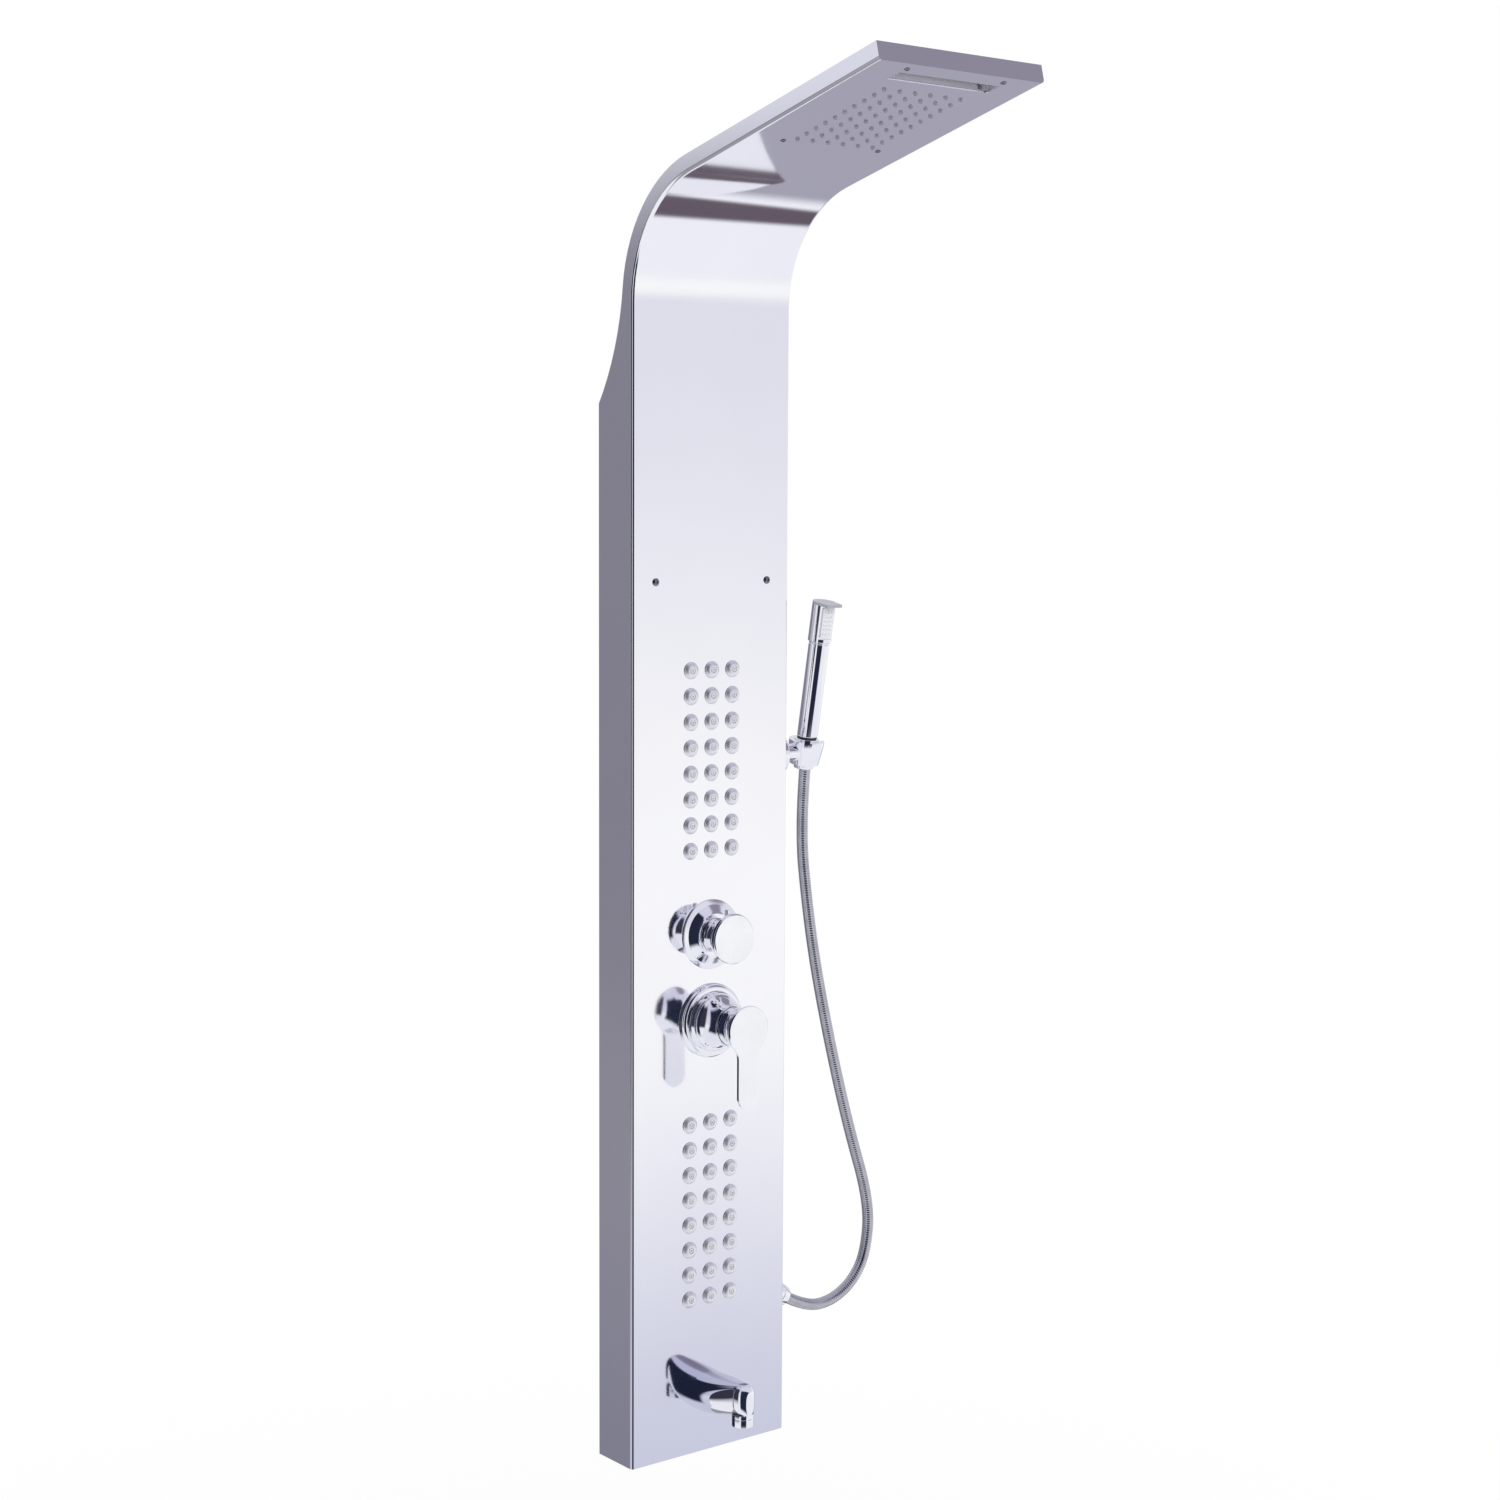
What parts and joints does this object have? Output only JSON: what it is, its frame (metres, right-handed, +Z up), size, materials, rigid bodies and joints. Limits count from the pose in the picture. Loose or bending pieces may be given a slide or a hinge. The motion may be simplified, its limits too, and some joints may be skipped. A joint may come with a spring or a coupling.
{
  "type": "shower panel column",
  "caption": "Folded steel shower column with an overhead rain and waterfall arm, body jets, diverter, lever mixer, bath spout and a hand shower on a hose.",
  "frame": {"origin": "middle of the panel's bottom edge on the wall plane", "axes": "+Z up the column, +Y into the wall, +X to the side that carries the hand shower"},
  "size_m": [0.3493, 0.4239, 1.392],
  "materials": {
    "panel_steel": "mirror polished sheet",
    "bracket_steel": "plain sheet",
    "screw_steel": "dark polished heads",
    "chrome": "polished plating",
    "hose_chrome": "spiral wound strip",
    "brass": "cast and turned",
    "inner_plastic": "moulded",
    "cartridge_plastic": "moulded",
    "tube_plastic": "soft tube",
    "nozzle_rubber": "soft moulded",
    "seal_rubber": "sheet",
    "grey_plastic": "smooth moulded"
  },
  "bodies": {
    "column": {"front_panel": "panel_steel", "top_cover": "panel_steel", "rain_nozzle_mat": "nozzle_rubber", "rain_chamber": "inner_plastic", "chamber_lid": "inner_plastic", "waterfall_ramp": "panel_steel", "head_screws": "screw_steel", "wall_bracket_upper": "bracket_steel", "wall_bracket_lower": "bracket_steel", "fixing_screws": "screw_steel", "upper_jet_bezels": "chrome", "upper_jet_tips": "nozzle_rubber", "upper_jet_seal": "seal_rubber", "upper_jet_manifold": "inner_plastic", "lower_jet_bezels": "chrome", "lower_jet_tips": "nozzle_rubber", "lower_jet_seal": "seal_rubber", "lower_jet_manifold": "inner_plastic", "diverter_body": "brass", "diverter_cartridge": "cartridge_plastic", "diverter_locknut": "brass", "diverter_flange": "chrome", "mixer_body": "brass", "transfer_pipe": "brass", "mixer_cartridge": "cartridge_plastic", "mixer_locknut": "brass", "mixer_flange": "chrome", "mixer_bonnet": "chrome", "spout": "chrome", "spout_aerator": "chrome", "spout_washer": "seal_rubber", "spout_nut": "brass", "spout_elbow": "brass", "holder_base": "chrome", "holder_screw": "bracket_steel", "holder_backnut": "bracket_steel", "hose_outlet": "brass", "outlet_backnut": "brass", "hose_lower_nut": "chrome", "shower_hose": "hose_chrome", "rain_tube": "tube_plastic", "waterfall_tube": "tube_plastic", "upper_jet_tube": "tube_plastic", "lower_jet_tube": "tube_plastic", "spout_tube": "tube_plastic", "handset_tube": "tube_plastic", "tube_clips": "inner_plastic"},
    "diverter_knob": {"diverter_knob": "chrome", "diverter_knob_pin": "chrome", "diverter_spindle": "brass"},
    "mixer_turn": {"lever_carrier": "cartridge_plastic", "lever_pin": "bracket_steel"},
    "mixer_lever": {"mixer_lever": "chrome"},
    "holder": {"holder_socket": "chrome"},
    "handset": {"hose_upper_nut": "chrome", "handset_washer": "seal_rubber", "handset_handle": "chrome", "handset_head": "chrome", "handset_cap": "grey_plastic", "handset_spray_plate": "inner_plastic"}
  },
  "joints": [
    {"name": "diverter_turn", "type": "hinge", "parent": "column", "child": "diverter_knob", "pos_m": [0, -0.09, 0.5483], "axis": [0, -1, 0], "continuous": true},
    {"name": "mixer_turn", "type": "hinge", "parent": "column", "child": "mixer_turn", "pos_m": [0, -0.1, 0.458], "axis": [0, -1, 0], "range_deg": [-45, 45]},
    {"name": "mixer_lift", "type": "hinge", "parent": "mixer_turn", "child": "mixer_lever", "pos_m": [0, -0.1, 0.458], "axis": [-1, 0, 0], "range_deg": [0, 20]},
    {"name": "holder_tilt", "type": "hinge", "parent": "column", "child": "holder", "pos_m": [0.1475, -0.03, 0.727], "axis": [1, 0, 0], "range_deg": [-25, 20], "deforming": ["shower_hose"]},
    {"name": "handset_lift", "type": "slide", "parent": "holder", "child": "handset", "axis": [0, -0.1822, 0.9833], "range_m": [0, 0.06], "deforming": ["shower_hose"]}
  ]
}
